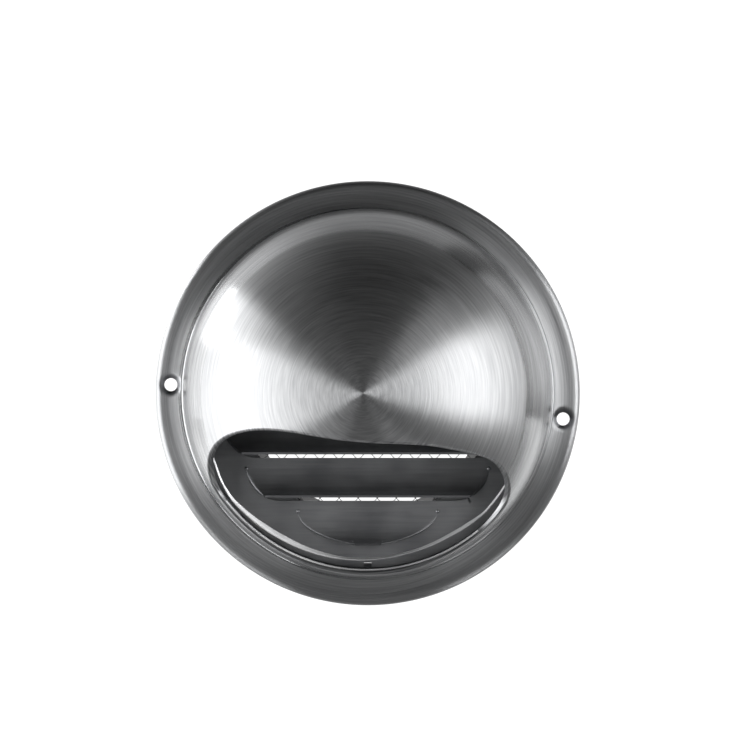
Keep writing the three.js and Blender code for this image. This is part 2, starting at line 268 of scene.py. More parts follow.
def smooth_loop(corners, count, blur):
    """A closed line through the corners with its kinks rounded off, as count points."""
    corners = np.array(corners)
    steps = np.hypot(*(np.roll(corners, -1, axis=0) - corners).T)
    along = np.concatenate([[0], np.cumsum(steps)])
    closed = np.concatenate([corners, corners[:1]])
    at = np.linspace(0, along[-1], count, endpoint=False)
    line = np.stack([np.interp(at, along, closed[:, k]) for k in (0, 1)], axis=1)
    offsets = np.arange(count)
    offsets = np.minimum(offsets, count - offsets) * along[-1] / count
    weight = np.exp(-0.5 * (offsets / blur) ** 2)
    weight /= weight.sum()
    return np.real(np.fft.ifft(np.fft.fft(line, axis=0) * np.fft.fft(weight)[:, None], axis=0))


def mouth_line():
    """The mouth's edge seen along the axis, before the hood's turn."""
    low = arc(MOUTH_LOW_X, MOUTH_LOW_Z, MOUTH_LOW_R, -44, -136, 120)
    return smooth_loop(MOUTH_TOP_EDGE + low.tolist(), 1400, 2.2)


def flat_of(xz):
    """Dome points (x, z) laid out flat: the angle down from the crown, in the same direction."""
    r = np.hypot(xz[:, 0], xz[:, 1])
    angle = np.arcsin(np.clip(r / DOME_R, 0, 1))
    return xz * (angle / np.maximum(r, 1e-9))[:, None]


def dome_at(flat):
    """Point and outward normal of the dome for flat coordinates."""
    angle = np.hypot(flat[:, 0], flat[:, 1])
    way = flat / np.maximum(angle, 1e-9)[:, None]
    r, out = DOME_R * np.sin(angle), DOME_RISE * np.cos(angle)
    point = np.stack([way[:, 0] * r, FOOT + out, way[:, 1] * r], axis=1)
    normal = np.stack([way[:, 0] * r / DOME_R**2, out / DOME_RISE**2, way[:, 1] * r / DOME_R**2], axis=1)
    return point, normal / np.linalg.norm(normal, axis=1)[:, None]


def mouth_edge():
    """Points and dome normals along the mouth's edge, the way off it, and rays from its middle."""
    line = flat_of(mouth_line())
    bearing = np.arctan2(line[:, 1] - MOUTH_CENTRE[1], line[:, 0] - MOUTH_CENTRE[0])
    order = np.argsort(bearing)
    angles = np.linspace(-math.pi, math.pi, COLUMNS, endpoint=False)
    reach = np.hypot(*(line - MOUTH_CENTRE).T)[order]
    reach = np.interp(angles, bearing[order], reach, period=2 * math.pi)
    rays = np.stack([np.cos(angles), np.sin(angles)], axis=1)
    edge, normal = dome_at(MOUTH_CENTRE + rays * reach[:, None])
    along = np.roll(edge, -1, axis=0) - np.roll(edge, 1, axis=0)
    along /= np.linalg.norm(along, axis=1)[:, None]
    off = np.cross(along, normal)
    outward = np.stack([rays[:, 0], 0 * angles, rays[:, 1]], axis=1)
    off *= np.sign(np.sum(off * outward, axis=1))[:, None]
    return edge, normal, off


def flange_profile():
    """Foot, flat ring, rolled rim and hem, then back along the inside, as (radius, out)."""
    roll_x = FLANGE_R - RIM_ROLL
    rim_top = FLANGE_TOP + RIM_RISE
    reach = np.linspace(0, 1, 22)
    ring_r = DOME_R + 0.9 + (roll_x - DOME_R - 0.9) * reach
    hollow = np.interp(reach, *zip(*HOLLOW))
    hollow = np.convolve(np.pad(hollow, 1, mode="edge"), [0.25, 0.5, 0.25], mode="valid")
    hem_end = FLANGE_R - HEM_INSET - HEM_WIDTH
    inside = FLANGE_TOP - SHEET
    return np.concatenate([
        arc(DOME_R + FOOT_BEND, FOOT, FOOT_BEND, 180, 262, 7)[1:-1],
        np.stack([ring_r, FLANGE_TOP - 0.1 + hollow], axis=1)[:-1],
        arc(roll_x, rim_top - 0.1 - RIM_ROLL, RIM_ROLL, 90, 0, 10),
        [[FLANGE_R - 0.1, 0.3], [FLANGE_R - HEM_INSET, 0.0], [hem_end, 0.0], [hem_end, HEM_THICK],
         [FLANGE_R - SHEET, HEM_THICK]],
        arc(roll_x, rim_top - RIM_ROLL, RIM_ROLL - SHEET, 0, 90, 4),
        [[CREASE_R + 0.8, inside + 0.17], [CREASE_R, inside - 0.25], [CREASE_R - 0.5, inside]],
        [[r, inside] for r in np.linspace(CREASE_R - 1.2, DOME_R + 1.3, 4)],
        arc(DOME_R + FOOT_BEND, FOOT, FOOT_BEND + SHEET, 270, 180, 5)[:-1],
    ])


def hood_rows():
    """Rows of the closed hood skin: lip, fold, dome, foot, flange, hem and back inside."""
    edge, normal, off = mouth_edge()
    rows = [edge - normal * LIP_DEPTH + off * LIP_ROLL]
    rows += [edge - normal * depth for depth in np.linspace(LIP_DEPTH - LIP_ROLL, LIP_BEND, 8)]
    for turn in np.radians(np.linspace(90, 0, 10))[1:-1]:
        rows.append(edge + off * LIP_BEND * (1 - math.sin(turn)) - normal * LIP_BEND * (1 - math.cos(turn)))
    start = flat_of((edge + off * LIP_BEND)[:, [0, 2]])
    toward = start - MOUTH_CENTRE
    toward /= np.linalg.norm(toward, axis=1)[:, None]
    half = np.sum(toward * MOUTH_CENTRE, axis=1)
    full = -half + np.sqrt(half**2 - np.sum(MOUTH_CENTRE**2) + (math.pi / 2) ** 2)
    rim = MOUTH_CENTRE + toward * full[:, None]
    dome = [dome_at(start + (rim - start) * part) for part in np.linspace(0, 1, 62)]
    rows += [point for point, _ in dome]
    around = rim / np.linalg.norm(rim, axis=1)[:, None]
    for r, out in flange_profile():
        rows.append(np.stack([around[:, 0] * r, np.full(COLUMNS, out), around[:, 1] * r], axis=1))
    rows += [point - square * SHEET for point, square in dome[::-4]]
    for depth in np.linspace(LIP_BEND, LIP_DEPTH - LIP_ROLL, 4):
        rows.append(edge + off * SHEET - normal * depth)
    rows.append(edge - normal * LIP_DEPTH + off * (SHEET - LIP_ROLL))
    return np.array(rows)


def lip_faces(mesh, rows):
    """Gives the folded lip the second material, and the low strip at its cut edge the third, whose lighter
    colour is a painted highlight.
    """
    for face in mesh.polygons:
        row = face.index // COLUMNS
        turn = math.degrees(math.atan2(face.center.z, face.center.x)) % 360
        if row < EDGE_ROWS and EDGE_HIGHLIGHT_FROM < turn < EDGE_HIGHLIGHT_TO:
            face.material_index = 2
        elif row < LIP_ROWS or row >= rows - BACK_ROWS:
            face.material_index = 1


def dimple(points):
    """Presses the flange down round each screw hole, in the hood's own frame."""
    for side in HOLE_SIDES:
        away = np.hypot(points[..., 0] - HOLE_CIRCLE * math.cos(side),
                        points[..., 2] - HOLE_CIRCLE * math.sin(side))
        press = np.clip((DIMPLE_R - away) / DIMPLE_SLOPE, 0, 1)
        on_flange = (points[..., 1] < FOOT + 0.5) & (points[..., 1] > 0.5)
        points[..., 1] -= np.where(on_flange, DIMPLE_DEPTH * press**2 * (3 - 2 * press), 0)
    return points


def turn_about_axis(points, angle):
    """Turns points round the vent's axis."""
    x, z = points[..., 0].copy(), points[..., 2].copy()
    points[..., 0] = x * math.cos(angle) - z * math.sin(angle)
    points[..., 2] = x * math.sin(angle) + z * math.cos(angle)
    return points


LATHE_OFFSET = 1.3
SMOOTHER_FROM, SMOOTHER_PAST, FLANGE_FROM = 46.8, 48.6, 56.6
DIMPLE_SHADE_FROM, DIMPLE_SHADE_TO = 2.2, 4.4


def brushed_steel(name, anisotropy, low_rough, high_rough, light, dark, turn=0.25):
    """Stainless brushed on the lathe: rings of fine scratches that throw the light out radially. The
    rings run a little off the axis, the dome's flank is smoother, and the dimples get painted shade."""
    mat = bpy.data.materials.new(name)
    mat.use_nodes = True
    tree = mat.node_tree
    tree.nodes.clear()
    place = add(tree, "ShaderNodeTexCoord").outputs["Object"]
    place = add(tree, "ShaderNodeVectorMath", {"operation": "ADD"}, i0=place, i1=(LATHE_OFFSET * MM, 0, 0))
    xyz = add(tree, "ShaderNodeSeparateXYZ", None, Vector=place.outputs[0])
    flat = add(tree, "ShaderNodeCombineXYZ", None, X=xyz.outputs["X"], Z=xyz.outputs["Z"]).outputs[0]
    radius = add(tree, "ShaderNodeVectorMath", {"operation": "LENGTH"}, i0=flat).outputs["Value"]
    way = add(tree, "ShaderNodeVectorMath", {"operation": "NORMALIZE"}, i0=flat).outputs[0]
    round_way = add(tree, "ShaderNodeVectorMath", {"operation": "CROSS_PRODUCT"}, i0=way, i1=(0, 1, 0))
    way_xyz = add(tree, "ShaderNodeSeparateXYZ", None, Vector=way)

    def rings(pitch_mm, run, detail, seed):
        """Noise drawn out round the axis: pitch across the rings, run along them."""
        across = add(tree, "ShaderNodeMath", {"operation": "MULTIPLY"}, i0=radius, i1=1 / (pitch_mm * MM))
        x = add(tree, "ShaderNodeMath", {"operation": "MULTIPLY_ADD"}, i0=way_xyz.outputs["X"], i1=run,
                i2=seed)
        z = add(tree, "ShaderNodeMath", {"operation": "MULTIPLY"}, i0=way_xyz.outputs["Z"], i1=run)
        at = add(tree, "ShaderNodeCombineXYZ", None, X=across.outputs[0], Y=x.outputs[0], Z=z.outputs[0])
        noise = add(tree, "ShaderNodeTexNoise", None, Vector=at.outputs[0], Scale=1.0, Detail=detail,
                    Roughness=0.6)
        return noise.outputs["Fac"]

    fine = rings(0.45, 2.2, 3.0, 3.1)
    broad = rings(2.6, 1.2, 2.0, 17.0)
    uneven = add(tree, "ShaderNodeMath", {"operation": "MULTIPLY_ADD"}, i0=broad, i1=0.6, i2=fine)
    rough = add(tree, "ShaderNodeMapRange", None, Value=uneven.outputs[0], From_Min=0.45, From_Max=1.15,
                To_Min=low_rough, To_Max=high_rough).outputs[0]
    smoother = add(tree, "ShaderNodeMapRange", {"interpolation_type": "SMOOTHSTEP"}, Value=radius,
                   From_Min=SMOOTHER_FROM * MM, From_Max=SMOOTHER_PAST * MM, To_Min=1.0, To_Max=0.62)
    on_flange = add(tree, "ShaderNodeMath", {"operation": "GREATER_THAN"}, i0=radius, i1=FLANGE_FROM * MM)
    smoother = add(tree, "ShaderNodeMath", {"operation": "MAXIMUM"}, i0=smoother.outputs[0],
                   i1=on_flange.outputs[0])
    rough = add(tree, "ShaderNodeMath", {"operation": "MULTIPLY"}, i0=rough, i1=smoother.outputs[0])
    tone = add(tree, "ShaderNodeMapRange", None, Value=fine, From_Min=0.3, From_Max=0.7)
    colour = add(tree, "ShaderNodeMix", {"data_type": "RGBA"}, i0=tone.outputs[0], i6=linear(dark),
                 i7=linear(light))
    near = 1.0
    for side in HOLE_SIDES:
        x, z = (HOLE_CIRCLE * turned(side + HOOD_TURN) * MM for turned in (math.cos, math.sin))
        away = add(tree, "ShaderNodeVectorMath", {"operation": "DISTANCE"}, i0=flat,
                   i1=(x + LATHE_OFFSET * MM, 0, z)).outputs["Value"]
        near = add(tree, "ShaderNodeMath", {"operation": "MINIMUM"}, i0=away, i1=near).outputs[0]
    # Painted shade: a darker colour round each screw hole's dimple.
    painted_dimple_shade = add(tree, "ShaderNodeMapRange", {"interpolation_type": "SMOOTHSTEP"}, Value=near,
                  From_Min=DIMPLE_SHADE_FROM * MM, From_Max=DIMPLE_SHADE_TO * MM)
    colour = add(tree, "ShaderNodeMix", {"data_type": "RGBA"}, i0=painted_dimple_shade.outputs[0], i6=linear("6E6F72"),
                 i7=colour.outputs[2])
    bump = add(tree, "ShaderNodeBump", None, Height=fine, Strength=0.5, Distance=0.07 * MM).outputs[0]
    steel = add(tree, "ShaderNodeBsdfPrincipled", None, Base_Color=colour.outputs[2], Metallic=1.0,
                Roughness=rough.outputs[0], Anisotropic=anisotropy, Anisotropic_Rotation=turn,
                Tangent=round_way.outputs[0], Normal=bump)
    add(tree, "ShaderNodeOutputMaterial", None, Surface=steel.outputs[0])
    return mat


rows = turn_about_axis(dimple(hood_rows()), HOOD_TURN)
hood_steel = brushed_steel("brushed_hood_steel", 0.9, 0.32, 0.42, "CECFD0", "ACADAF")
lip_steel = brushed_steel("folded_lip_steel", 0.35, 0.44, 0.60, "B9BABB", "6C6D70")
# Lip cut edge and plate rim crest: smoother steel brushed along the edge, its lighter colour a painted
# highlight.
rim_highlight_steel = brushed_steel("edge_steel_painted_highlight", 0.88, 0.44, 0.52, "ECECED", "D2D3D4", turn=0.0)
hood = mesh_piece("hood", rows.reshape(-1, 3), ring_faces(len(rows), COLUMNS),
                  [hood_steel, lip_steel, rim_highlight_steel])
lip_faces(hood.data, len(rows))
for side in HOLE_SIDES:
    x, z = (HOLE_CIRCLE * turned(side + HOOD_TURN) for turned in (math.cos, math.sin))
    drill = prism("drill", arc(x, z, HOLE_R, 0, 360, DRILL_SIDES)[:-1], -2.0, 6.0)
    cut = hood.modifiers.new("hole", "BOOLEAN")
    cut.operation, cut.solver, cut.object = "DIFFERENCE", "EXACT", drill
    evaluated(hood)
    bpy.data.objects.remove(drill)
finish_mesh(hood)
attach(hood, "root")
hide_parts("hood_shell")

# ---------------------------------------------------------------------------------------------
# Louvre plate: a pressed pan of the same sheet with a rolled edge and a flange that is tacked to
# the hood. Each louvre is slit along its lower edge and pushed forward in one stroke.

plate_low, plate_high = (np.array(c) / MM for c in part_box("louvre_plate"))
EDGE_R = plate_high[0]
PLATE_FRONT = 7.0
PLATE_BACK = PLATE_FRONT - SHEET
PLATE_R = EDGE_R - 2.5
PLATE_ROLL = 1.6
PLATE_WALL, WALL_UNEVEN, WALL_BEND = 53.1, 0.1, 0.45
WELD_FLANGE_FRONT = 3.2
PLATE_COLUMNS = 256
RIM_STEEPNESS = 0.4
RIM_TURN = [180, 205, 212, 218, 225, 232, 240, 262, 283, 300, 307, 314, 320, 328, 350]
RIM_TOE = [50.0, 50.6, 51.5, 51.6, 50.9, 50.3, 49.9, 50.1, 49.4, 49.1, 49.4, 50.2, 50.0, 49.8, 49.6]
RIM_CREST = [50.6, 51.2, 52.1, 52.5, 52.3, 52.0, 51.6, 50.9, 50.1, 50.1, 50.5, 50.8, 50.6, 50.3, 50.1]
NOTCH_HALF, NOTCH_TOP, NOTCH_FOOT = 1.15, 51.3, 54.0
LOUVRE_PITCH, MIDDLE_CREASE = 13.0, 3.2
CREASES = [MIDDLE_CREASE + LOUVRE_PITCH * row for row in range(-3, 4)]
LOUVRE_DROP, LOWEST_DROP, SLOT_DROP = 8.0, 9.5, 9.8
LOUVRE_OUT = -plate_low[1] - PLATE_FRONT
FIELD_R, FIELD_DROP, FIELD_SPILL, END_RUN = PLATE_R - 6.3, 5.4, 2.0, 10.3
END_ROUND, LOWEST_FREE = 1.6, 0.5
BLADE_ROWS, BLADE_COLUMNS = 22, 120
BLADE_CURL, BLADE_TILT = 0.96, 0.12
MARK_RINGS = [(0.6, -0.1), (0.52, 0.25), (0.3, 0.46), (0.02, 0.5)]
MARK_SIDES = 16


def revolved(profile, columns):
    """Points of a closed profile (radius, out) turned about the axis."""
    angles = np.linspace(0, 2 * math.pi, columns, endpoint=False)
    points = [[r * math.cos(a), out, r * math.sin(a)] for r, out in profile for a in angles]
    return np.array(points)


def louvre_half_width(crease, drop):
    """Half the length of a louvre this far below its crease."""
    full = math.sqrt(FIELD_R**2 - (crease - FIELD_DROP) ** 2)
    run = full if full < 2.5 * END_RUN else END_RUN
    rounded = full - run * (1 - math.sqrt(max(1 - (drop / SLOT_DROP) ** 2, 0)))
    chord = math.sqrt(max((FIELD_R + FIELD_SPILL) ** 2 - (crease - drop) ** 2, 0))
    return max(min(rounded, chord), 0.3)


def satin_steel(name, light, dark, roughness):
    """Mill-finish sheet: soft, even, with faint rolling lines across and a little unevenness."""
    mat = bpy.data.materials.new(name)
    mat.use_nodes = True
    tree = mat.node_tree
    tree.nodes.clear()
    place = add(tree, "ShaderNodeTexCoord").outputs["Object"]
    drawn = add(tree, "ShaderNodeMapping", None, Vector=place, Scale=(60, 900, 1600)).outputs[0]
    lines = add(tree, "ShaderNodeTexNoise", None, Vector=drawn, Scale=1.0, Detail=3.0).outputs["Fac"]
    cloud = add(tree, "ShaderNodeTexNoise", None, Vector=place, Scale=90.0, Detail=2.0).outputs["Fac"]
    tone = add(tree, "ShaderNodeMath", {"operation": "MULTIPLY_ADD"}, i0=lines, i1=0.6, i2=cloud).outputs[0]
    even = add(tree, "ShaderNodeMapRange", None, Value=tone, From_Min=0.5, From_Max=1.1).outputs[0]
    colour = add(tree, "ShaderNodeMix", {"data_type": "RGBA"}, i0=even, i6=linear(dark), i7=linear(light))
    rough = add(tree, "ShaderNodeMapRange", None, Value=tone, From_Min=0.5, From_Max=1.1,
                To_Min=roughness - 0.04, To_Max=roughness + 0.05).outputs[0]
    bump = add(tree, "ShaderNodeBump", None, Height=lines, Strength=0.2, Distance=0.03 * MM).outputs[0]
    steel = add(tree, "ShaderNodeBsdfPrincipled", None, Base_Color=colour.outputs[2], Metallic=1.0,
                Roughness=rough, Normal=bump)
    add(tree, "ShaderNodeOutputMaterial", None, Surface=steel.outputs[0])
    return mat


plate_steel = satin_steel("satin_plate_steel", "9C9D9F", "86878A", 0.45)


def rim_at(turn):
    """Foot and crest of the plate's rim at an angle in degrees; it was pressed a little unevenly."""
    return (np.interp(turn, RIM_TURN, line, period=360) for line in (RIM_TOE, RIM_CREST))


def pan_profile(angle):
    """The pan's section at an angle round the axis."""
    toe, crest = rim_at(math.degrees(angle))
    wall = PLATE_WALL - WALL_UNEVEN * math.cos(angle)
    rise = RIM_STEEPNESS * (crest - toe)
    top = PLATE_FRONT + rise
    slope = [[toe + (crest - toe) * t, PLATE_FRONT + rise * (1 - (1 - t) ** 1.15)]
             for t in np.linspace(0.04, 1, 10)]
    weld_back = WELD_FLANGE_FRONT - SHEET
    return np.concatenate([
        [[r, PLATE_FRONT] for r in np.linspace(0.02, toe - 0.1, 14)], slope,
        [[crest + (wall - WALL_BEND - crest) * t, top] for t in (0.3, 0.7)],
        arc(wall - WALL_BEND, top - WALL_BEND, WALL_BEND, 90, 0, 6),
        [[wall, 4.0], [wall, WELD_FLANGE_FRONT + 0.05], [wall + 0.1, WELD_FLANGE_FRONT],
         [EDGE_R, WELD_FLANGE_FRONT], [EDGE_R, weld_back], [PLATE_R - SHEET, weld_back]],
        arc(PLATE_R - PLATE_ROLL, PLATE_FRONT - PLATE_ROLL, PLATE_ROLL - SHEET, 0, 90, 5),
        [[0.02, PLATE_BACK]],
    ])


turns = np.linspace(0, 2 * math.pi, PLATE_COLUMNS, endpoint=False)
sections = np.array([pan_profile(a) for a in turns])
disc = np.stack([sections[..., 0] * np.cos(turns)[:, None], sections[..., 1],
                 sections[..., 0] * np.sin(turns)[:, None]], axis=-1).transpose(1, 0, 2)
plate = mesh_piece("louvre_pan", disc.reshape(-1, 3), ring_faces(len(disc), PLATE_COLUMNS), [plate_steel])
cutters = []
for crease in CREASES:
    drops = np.sin(np.linspace(0, math.pi / 2, 25)) * SLOT_DROP
    side = [[louvre_half_width(crease, d) - 0.05, crease - d] for d in drops]
    cutters.append(prism("window", side + [[-x, z] for x, z in side[::-1]], 0.0, 12.0))
notch = [(-NOTCH_HALF, -NOTCH_FOOT), (NOTCH_HALF, -NOTCH_FOOT),
         (NOTCH_HALF, -NOTCH_TOP), (-NOTCH_HALF, -NOTCH_TOP)]
cutters.append(prism("drain_notch", notch, 3.6, 9.0))
for cutter in cutters:
    cut = plate.modifiers.new("window", "BOOLEAN")
    cut.operation, cut.solver, cut.object = "DIFFERENCE", "EXACT", cutter
evaluated(plate)
for cutter in cutters:
    bpy.data.objects.remove(cutter)


def louvre_blade(crease):
    """One blade as a grid: flat at the crease, steepest at the lip, rounded off at both ends. The
    lowest is a D cut free all along its arc."""
    rows, columns = BLADE_ROWS, BLADE_COLUMNS
    length, free = (LOWEST_DROP, LOWEST_FREE) if crease == CREASES[0] else (LOUVRE_DROP, 0.0)
    grid = []
    for v in np.linspace(0, 1, rows):
        drop = v * length
        half = louvre_half_width(crease, drop)
        bulge = (1 - math.sqrt(1 - (BLADE_CURL * v) ** 2)) / (1 - math.sqrt(1 - BLADE_CURL**2))
        rise = LOUVRE_OUT * (BLADE_TILT * v + (1 - BLADE_TILT) * bulge)
        for u in np.linspace(-1, 1, columns):
            u = math.sin(u * math.pi / 2) * 0.8 + u * 0.2
            from_end = half * (1 - abs(u))
            close = min(from_end / END_ROUND, 1.0)
            end = free + (1 - free) * math.sqrt(1 - (1 - close) ** 2)
            grid.append([u * half, PLATE_FRONT + rise * end, crease - drop])
    faces = [[r * columns + c, r * columns + c + 1, (r + 1) * columns + c + 1, (r + 1) * columns + c]
             for r in range(rows - 1) for c in range(columns - 1)]
    placed = np.array(grid)
    placed = np.stack([placed[:, 0], -placed[:, 1], placed[:, 2]], axis=1) * MM
    mesh = bpy.data.meshes.new("louvre")
    mesh.from_pydata(placed.tolist(), [], faces)
    mesh.materials.append(plate_steel)
    ob = bpy.data.objects.new("louvre", mesh)
    scene.collection.objects.link(ob)
    thick = ob.modifiers.new("sheet", "SOLIDIFY")
    thick.thickness = SHEET * MM
    thick.offset = 1 if mesh.polygons[0].normal.y > 0 else -1
    evaluated(ob)
    finish_mesh(ob)
    return ob


def stretch_mark(x, z):
    """The small pip that the punch raises at the end of a crease."""
    points, n = [], MARK_SIDES
    for size, lift in MARK_RINGS:
        points += [[x + size * math.cos(a), PLATE_FRONT + lift, z + size * math.sin(a)]
                   for a in np.linspace(0, 2 * math.pi, n, endpoint=False)]
    faces = [[r * n + c, r * n + (c + 1) % n, (r + 1) * n + (c + 1) % n, (r + 1) * n + c]
             for r in range(len(MARK_RINGS) - 1) for c in range(n)]
    faces += [list(range(n)), list(range(len(points) - 1, len(points) - 1 - n, -1))]
    return mesh_piece("mark", points, faces, [plate_steel])


blades = [louvre_blade(crease) for crease in CREASES]
blades += [stretch_mark(side * louvre_half_width(crease, 0), crease)
           for crease in CREASES for side in (-1, 1)]
with bpy.context.temp_override(active_object=plate, selected_editable_objects=[plate, *blades]):
    bpy.ops.object.join()
finish_mesh(plate)
plate.data.materials.append(rim_highlight_steel)
# The rim's crest takes the lighter edge steel, a painted highlight.
for face in plate.data.polygons:
    x, out, z = face.center.x, -face.center.y, face.center.z
    toe, crest = rim_at(math.degrees(math.atan2(z, x)))
    if toe * MM < math.hypot(x, z) < (crest + 0.1) * MM and out > PLATE_FRONT * MM:
        face.material_index = len(plate.data.materials) - 1
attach(plate, "root")
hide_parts("louvre_plate")

# ---------------------------------------------------------------------------------------------
# Insect screen: plain-woven stainless wire laid at 45 degrees, pinched between the plate and the
# duct collar.

screen_low, screen_high = (np.array(c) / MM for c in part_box("insect_screen"))
SCREEN_R = screen_high[0]
SCREEN_MIDDLE = -(screen_low[1] + screen_high[1]) / 2
WIRE_PITCH, WIRE_D, WIRE_WAVE, WIRE_COUNT = 4.1, 0.2, 0.1, 21
WIRE_POINTS, WIRE_SIDES = 121, 6
wire_steel = satin_steel("drawn_wire", "6A6B6C", "505152", 0.45)


def socket_in(group, name, kind, value):
    """Gives a node group a named input with a value to start from."""
    group.interface.new_socket(name=name, in_out="INPUT", socket_type=kind).default_value = value


def weave_group():
    """Wires of one direction as waved lines, then the same turned over and across."""
    group = bpy.data.node_groups.new("woven_screen", "GeometryNodeTree")
    group.interface.new_socket(name="Geometry", in_out="OUTPUT", socket_type="NodeSocketGeometry")
    for name, value in (("Radius", 0.04), ("Pitch", 0.004), ("Wire", 0.0003), ("Wave", 0.0002)):
        socket_in(group, name, "NodeSocketFloat", value)
    socket_in(group, "Wires", "NodeSocketInt", 21)
    given = group.nodes.new("NodeGroupInput").outputs

    back = add(group, "ShaderNodeMath", {"operation": "MULTIPLY"}, i0=given["Radius"], i1=-1.0)
    start = add(group, "ShaderNodeCombineXYZ", None, X=back.outputs[0]).outputs[0]
    stop = add(group, "ShaderNodeCombineXYZ", None, X=given["Radius"]).outputs[0]
    line = add(group, "GeometryNodeCurvePrimitiveLine", None, Start=start, End=stop).outputs[0]
    fine = add(group, "GeometryNodeResampleCurve", None, Curve=line, Count=WIRE_POINTS).outputs[0]
    gaps = add(group, "ShaderNodeMath", {"operation": "SUBTRACT"}, i0=given["Wires"], i1=1.0).outputs[0]
    span = add(group, "ShaderNodeMath", {"operation": "MULTIPLY"}, i0=gaps, i1=given["Pitch"]).outputs[0]
    side = add(group, "ShaderNodeMath", {"operation": "MULTIPLY"}, i0=span, i1=-0.5).outputs[0]
    first = add(group, "ShaderNodeCombineXYZ", None, Y=side).outputs[0]
    step = add(group, "ShaderNodeCombineXYZ", None, Y=given["Pitch"]).outputs[0]
    spots = add(group, "GeometryNodeMeshLine", None, Count=given["Wires"], Start_Location=first,
                Offset=step).outputs[0]
    laid = add(group, "GeometryNodeInstanceOnPoints", None, Points=spots, Instance=fine).outputs[0]
    real = add(group, "GeometryNodeRealizeInstances", None, Geometry=laid).outputs[0]
    place = add(group, "GeometryNodeInputPosition").outputs[0]
    xyz = add(group, "ShaderNodeSeparateXYZ", None, Vector=place)
    row = add(group, "ShaderNodeMath", {"operation": "DIVIDE"}, i0=xyz.outputs["Y"], i1=given["Pitch"])
    row = add(group, "ShaderNodeMath", {"operation": "ROUND"}, i0=row.outputs[0]).outputs[0]
    phase = add(group, "ShaderNodeMath", {"operation": "DIVIDE"}, i0=xyz.outputs["X"], i1=given["Pitch"])
    phase = add(group, "ShaderNodeMath", {"operation": "ADD"}, i0=phase.outputs[0], i1=row).outputs[0]
    turn = add(group, "ShaderNodeMath", {"operation": "MULTIPLY"}, i0=phase, i1=math.pi).outputs[0]
    swing = add(group, "ShaderNodeMath", {"operation": "COSINE"}, i0=turn).outputs[0]
    height = add(group, "ShaderNodeMath", {"operation": "MULTIPLY"}, i0=swing, i1=given["Wave"]).outputs[0]
    lift = add(group, "ShaderNodeCombineXYZ", None, Z=height).outputs[0]
    waved = add(group, "GeometryNodeSetPosition", None, Geometry=real, Offset=lift).outputs[0]
    length = add(group, "ShaderNodeVectorMath", {"operation": "LENGTH"}, i0=place).outputs["Value"]
    outside = add(group, "FunctionNodeCompare", {"operation": "GREATER_THAN"}, A=length,
                  B=given["Radius"]).outputs[0]
    kept = add(group, "GeometryNodeDeleteGeometry", {"domain": "POINT"}, Geometry=waved, Selection=outside)
    half = add(group, "ShaderNodeMath", {"operation": "MULTIPLY"}, i0=given["Wire"], i1=0.5).outputs[0]
    round_wire = add(group, "GeometryNodeCurvePrimitiveCircle", None, Resolution=WIRE_SIDES,
                     Radius=half).outputs[0]
    solid = add(group, "GeometryNodeCurveToMesh", None, Curve=kept.outputs[0], Profile_Curve=round_wire,
                Fill_Caps=True).outputs[0]
    across = add(group, "GeometryNodeTransform", None, Geometry=solid, Rotation=(math.pi, 0, math.pi / 2))
    joined = group.nodes.new("GeometryNodeJoinGeometry")
    group.links.new(solid, joined.inputs[0])
    group.links.new(across.outputs[0], joined.inputs[0])
    slanted = add(group, "GeometryNodeTransform", None, Geometry=joined.outputs[0],
                  Rotation=(0, 0, math.pi / 4))
    upright = add(group, "GeometryNodeTransform", None, Geometry=slanted.outputs[0],
                  Rotation=(math.pi / 2, 0, 0), Translation=(0, -SCREEN_MIDDLE * MM, 0))
    final = add(group, "GeometryNodeRealizeInstances", None, Geometry=upright.outputs[0]).outputs[0]
    dressed = add(group, "GeometryNodeSetMaterial", None, Geometry=final, Material=wire_steel).outputs[0]
    out = group.nodes.new("NodeGroupOutput")
    group.links.new(dressed, out.inputs[0])
    return group


def grown(name, group, **values):
    """An empty mesh grown by a node group with named inputs, then made plain."""
    ob = bpy.data.objects.new(name, bpy.data.meshes.new(name))
    scene.collection.objects.link(ob)
    grow = ob.modifiers.new("grow", "NODES")
    grow.node_group = group
    for item in group.interface.items_tree:
        if item.item_type == "SOCKET" and item.in_out == "INPUT" and item.name in values:
            grow[item.identifier] = values[item.name]
    evaluated(ob)
    finish_mesh(ob, 60)
    return ob


screen = grown("insect_screen_weave", weave_group(), Radius=SCREEN_R * MM, Pitch=WIRE_PITCH * MM,
               Wire=WIRE_D * MM, Wave=WIRE_WAVE * MM, Wires=WIRE_COUNT)
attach(screen, "root")
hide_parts("insect_screen")

# ---------------------------------------------------------------------------------------------
# Duct spigot: a rolled tube, its front end bevelled for the weld and its free end deburred. The
# bore is coloured dark as painted shade.

tube_low, tube_high = (np.array(c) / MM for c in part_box("spigot_tube"))
TUBE_R = tube_high[0]
TUBE_END = -tube_high[1]
TUBE_FRONT = -tube_low[1]
BORE_R = TUBE_R - SHEET
TUBE_BEVEL, TUBE_DEBURR, TUBE_SIDES = 0.15, 0.2, 192
tube_steel = satin_steel("rolled_tube_steel", "AEAFB1", "96979A", 0.40)
